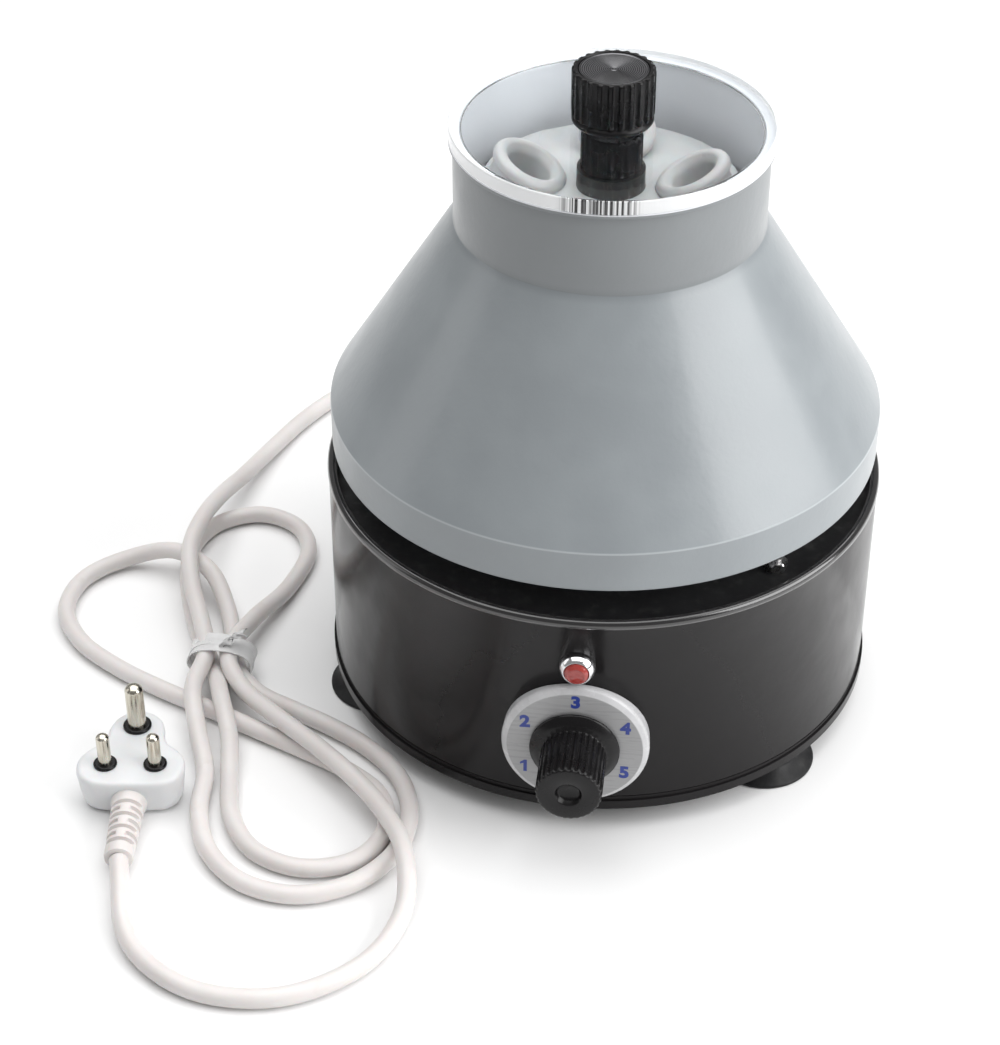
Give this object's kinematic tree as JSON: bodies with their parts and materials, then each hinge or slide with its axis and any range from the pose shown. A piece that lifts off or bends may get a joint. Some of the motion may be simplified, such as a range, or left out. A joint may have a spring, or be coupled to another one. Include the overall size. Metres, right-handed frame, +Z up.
{
  "type": "clinical centrifuge",
  "caption": "Bench clinical centrifuge: black drum base with speed dial, grey conical guard bowl, clear lift-off lid over an angle rotor, mains lead with round-pin plug.",
  "frame": {"origin": "on the bench, under the rotor's axis", "axes": "+Z up along the rotor's axis; the dial and the pilot lamp face -Y; +X to the right when facing the dial"},
  "size_m": [0.3344, 0.416, 0.2634],
  "materials": {
    "black_enamel": "gloss",
    "grey_enamel": "semi-gloss",
    "black_inner_paint": "matt",
    "bright_fasteners": "satin",
    "black_rubber": "matt",
    "clear_acrylic": "polished",
    "black_knob": "gloss",
    "spun_insert": "spun",
    "white_rotor_plastic": "satin",
    "dial_grey": "fine satin",
    "phenolic_brown": "satin",
    "brass": "satin",
    "lamp_chrome": "polished",
    "lamp_red": "gloss",
    "cream_ceramic": "matt",
    "shaft_steel": "ground",
    "cast_alloy": "cast",
    "lamination_steel": "matt",
    "enamelled_copper": "varnished",
    "carbon": "matt",
    "off_white_pvc": "satin",
    "clear_tie": "gloss",
    "white_plug_plastic": "satin",
    "nickel_brass": "worn"
  },
  "bodies": {
    "base": {"base_shell": "black_enamel", "deck_plate": "black_inner_paint", "bottom_cover": "black_inner_paint", "cover_screws": "bright_fasteners", "foot_1": "black_rubber", "foot_2": "black_rubber", "foot_3": "black_rubber", "foot_screws": "bright_fasteners", "bowl": "grey_enamel", "bowl_neck": "grey_enamel", "bowl_floor": "grey_enamel", "bowl_studs": "bright_fasteners", "bowl_nuts": "bright_fasteners", "dial_plate": "dial_grey", "switch_body": "phenolic_brown", "switch_contacts": "brass", "lamp_bezel": "lamp_chrome", "lamp_lens": "lamp_red", "lamp_body": "cream_ceramic", "panel_nuts": "bright_fasteners", "upper_bracket": "cast_alloy", "lower_bracket": "cast_alloy", "stator_core": "lamination_steel", "field_coils": "enamelled_copper", "bearing_outer_races": "shaft_steel", "brush_holders": "phenolic_brown", "carbon_brushes": "carbon", "motor_bolts": "bright_fasteners", "rubber_mounts": "black_rubber", "mount_screws": "bright_fasteners", "speed_resistor": "cream_ceramic", "terminal_block": "cream_ceramic", "earth_stud": "brass", "cord_gland": "black_rubber", "mains_cord": "off_white_pvc", "cord_tie": "clear_tie", "plug_body": "white_plug_plastic", "plug_sleeve": "off_white_pvc", "plug_pins": "nickel_brass", "plug_collars": "black_knob"},
    "rotor": {"motor_shaft": "shaft_steel", "armature_core": "lamination_steel", "armature_winding": "enamelled_copper", "commutator": "brass", "motor_fan": "cast_alloy", "bearing_inner_races": "shaft_steel", "rotor_seat": "brass", "rotor_head": "white_rotor_plastic", "rotor_sockets": "white_rotor_plastic", "tube_sleeve_1": "white_rotor_plastic", "tube_sleeve_2": "white_rotor_plastic", "tube_sleeve_3": "white_rotor_plastic", "tube_sleeve_4": "white_rotor_plastic", "rotor_nut": "black_knob"},
    "lid": {"lid_disc": "clear_acrylic", "lid_knob": "black_knob", "lid_knob_insert": "spun_insert", "lid_knob_screw": "bright_fasteners"},
    "knob": {"speed_knob": "black_knob", "switch_shaft": "brass"}
  },
  "joints": [
    {"name": "rotor_spin", "type": "hinge", "parent": "base", "child": "rotor", "pos_m": [0, 0, 0.15], "axis": [0, 0, 1], "continuous": true},
    {"name": "lid_lift", "type": "slide", "parent": "base", "child": "lid", "axis": [0, 0, 1], "range_m": [0, 0.12]},
    {"name": "speed_knob_turn", "type": "hinge", "parent": "base", "child": "knob", "pos_m": [0, -0.107, 0.043], "axis": [0, 1, 0], "range_deg": [0, 300]}
  ]
}
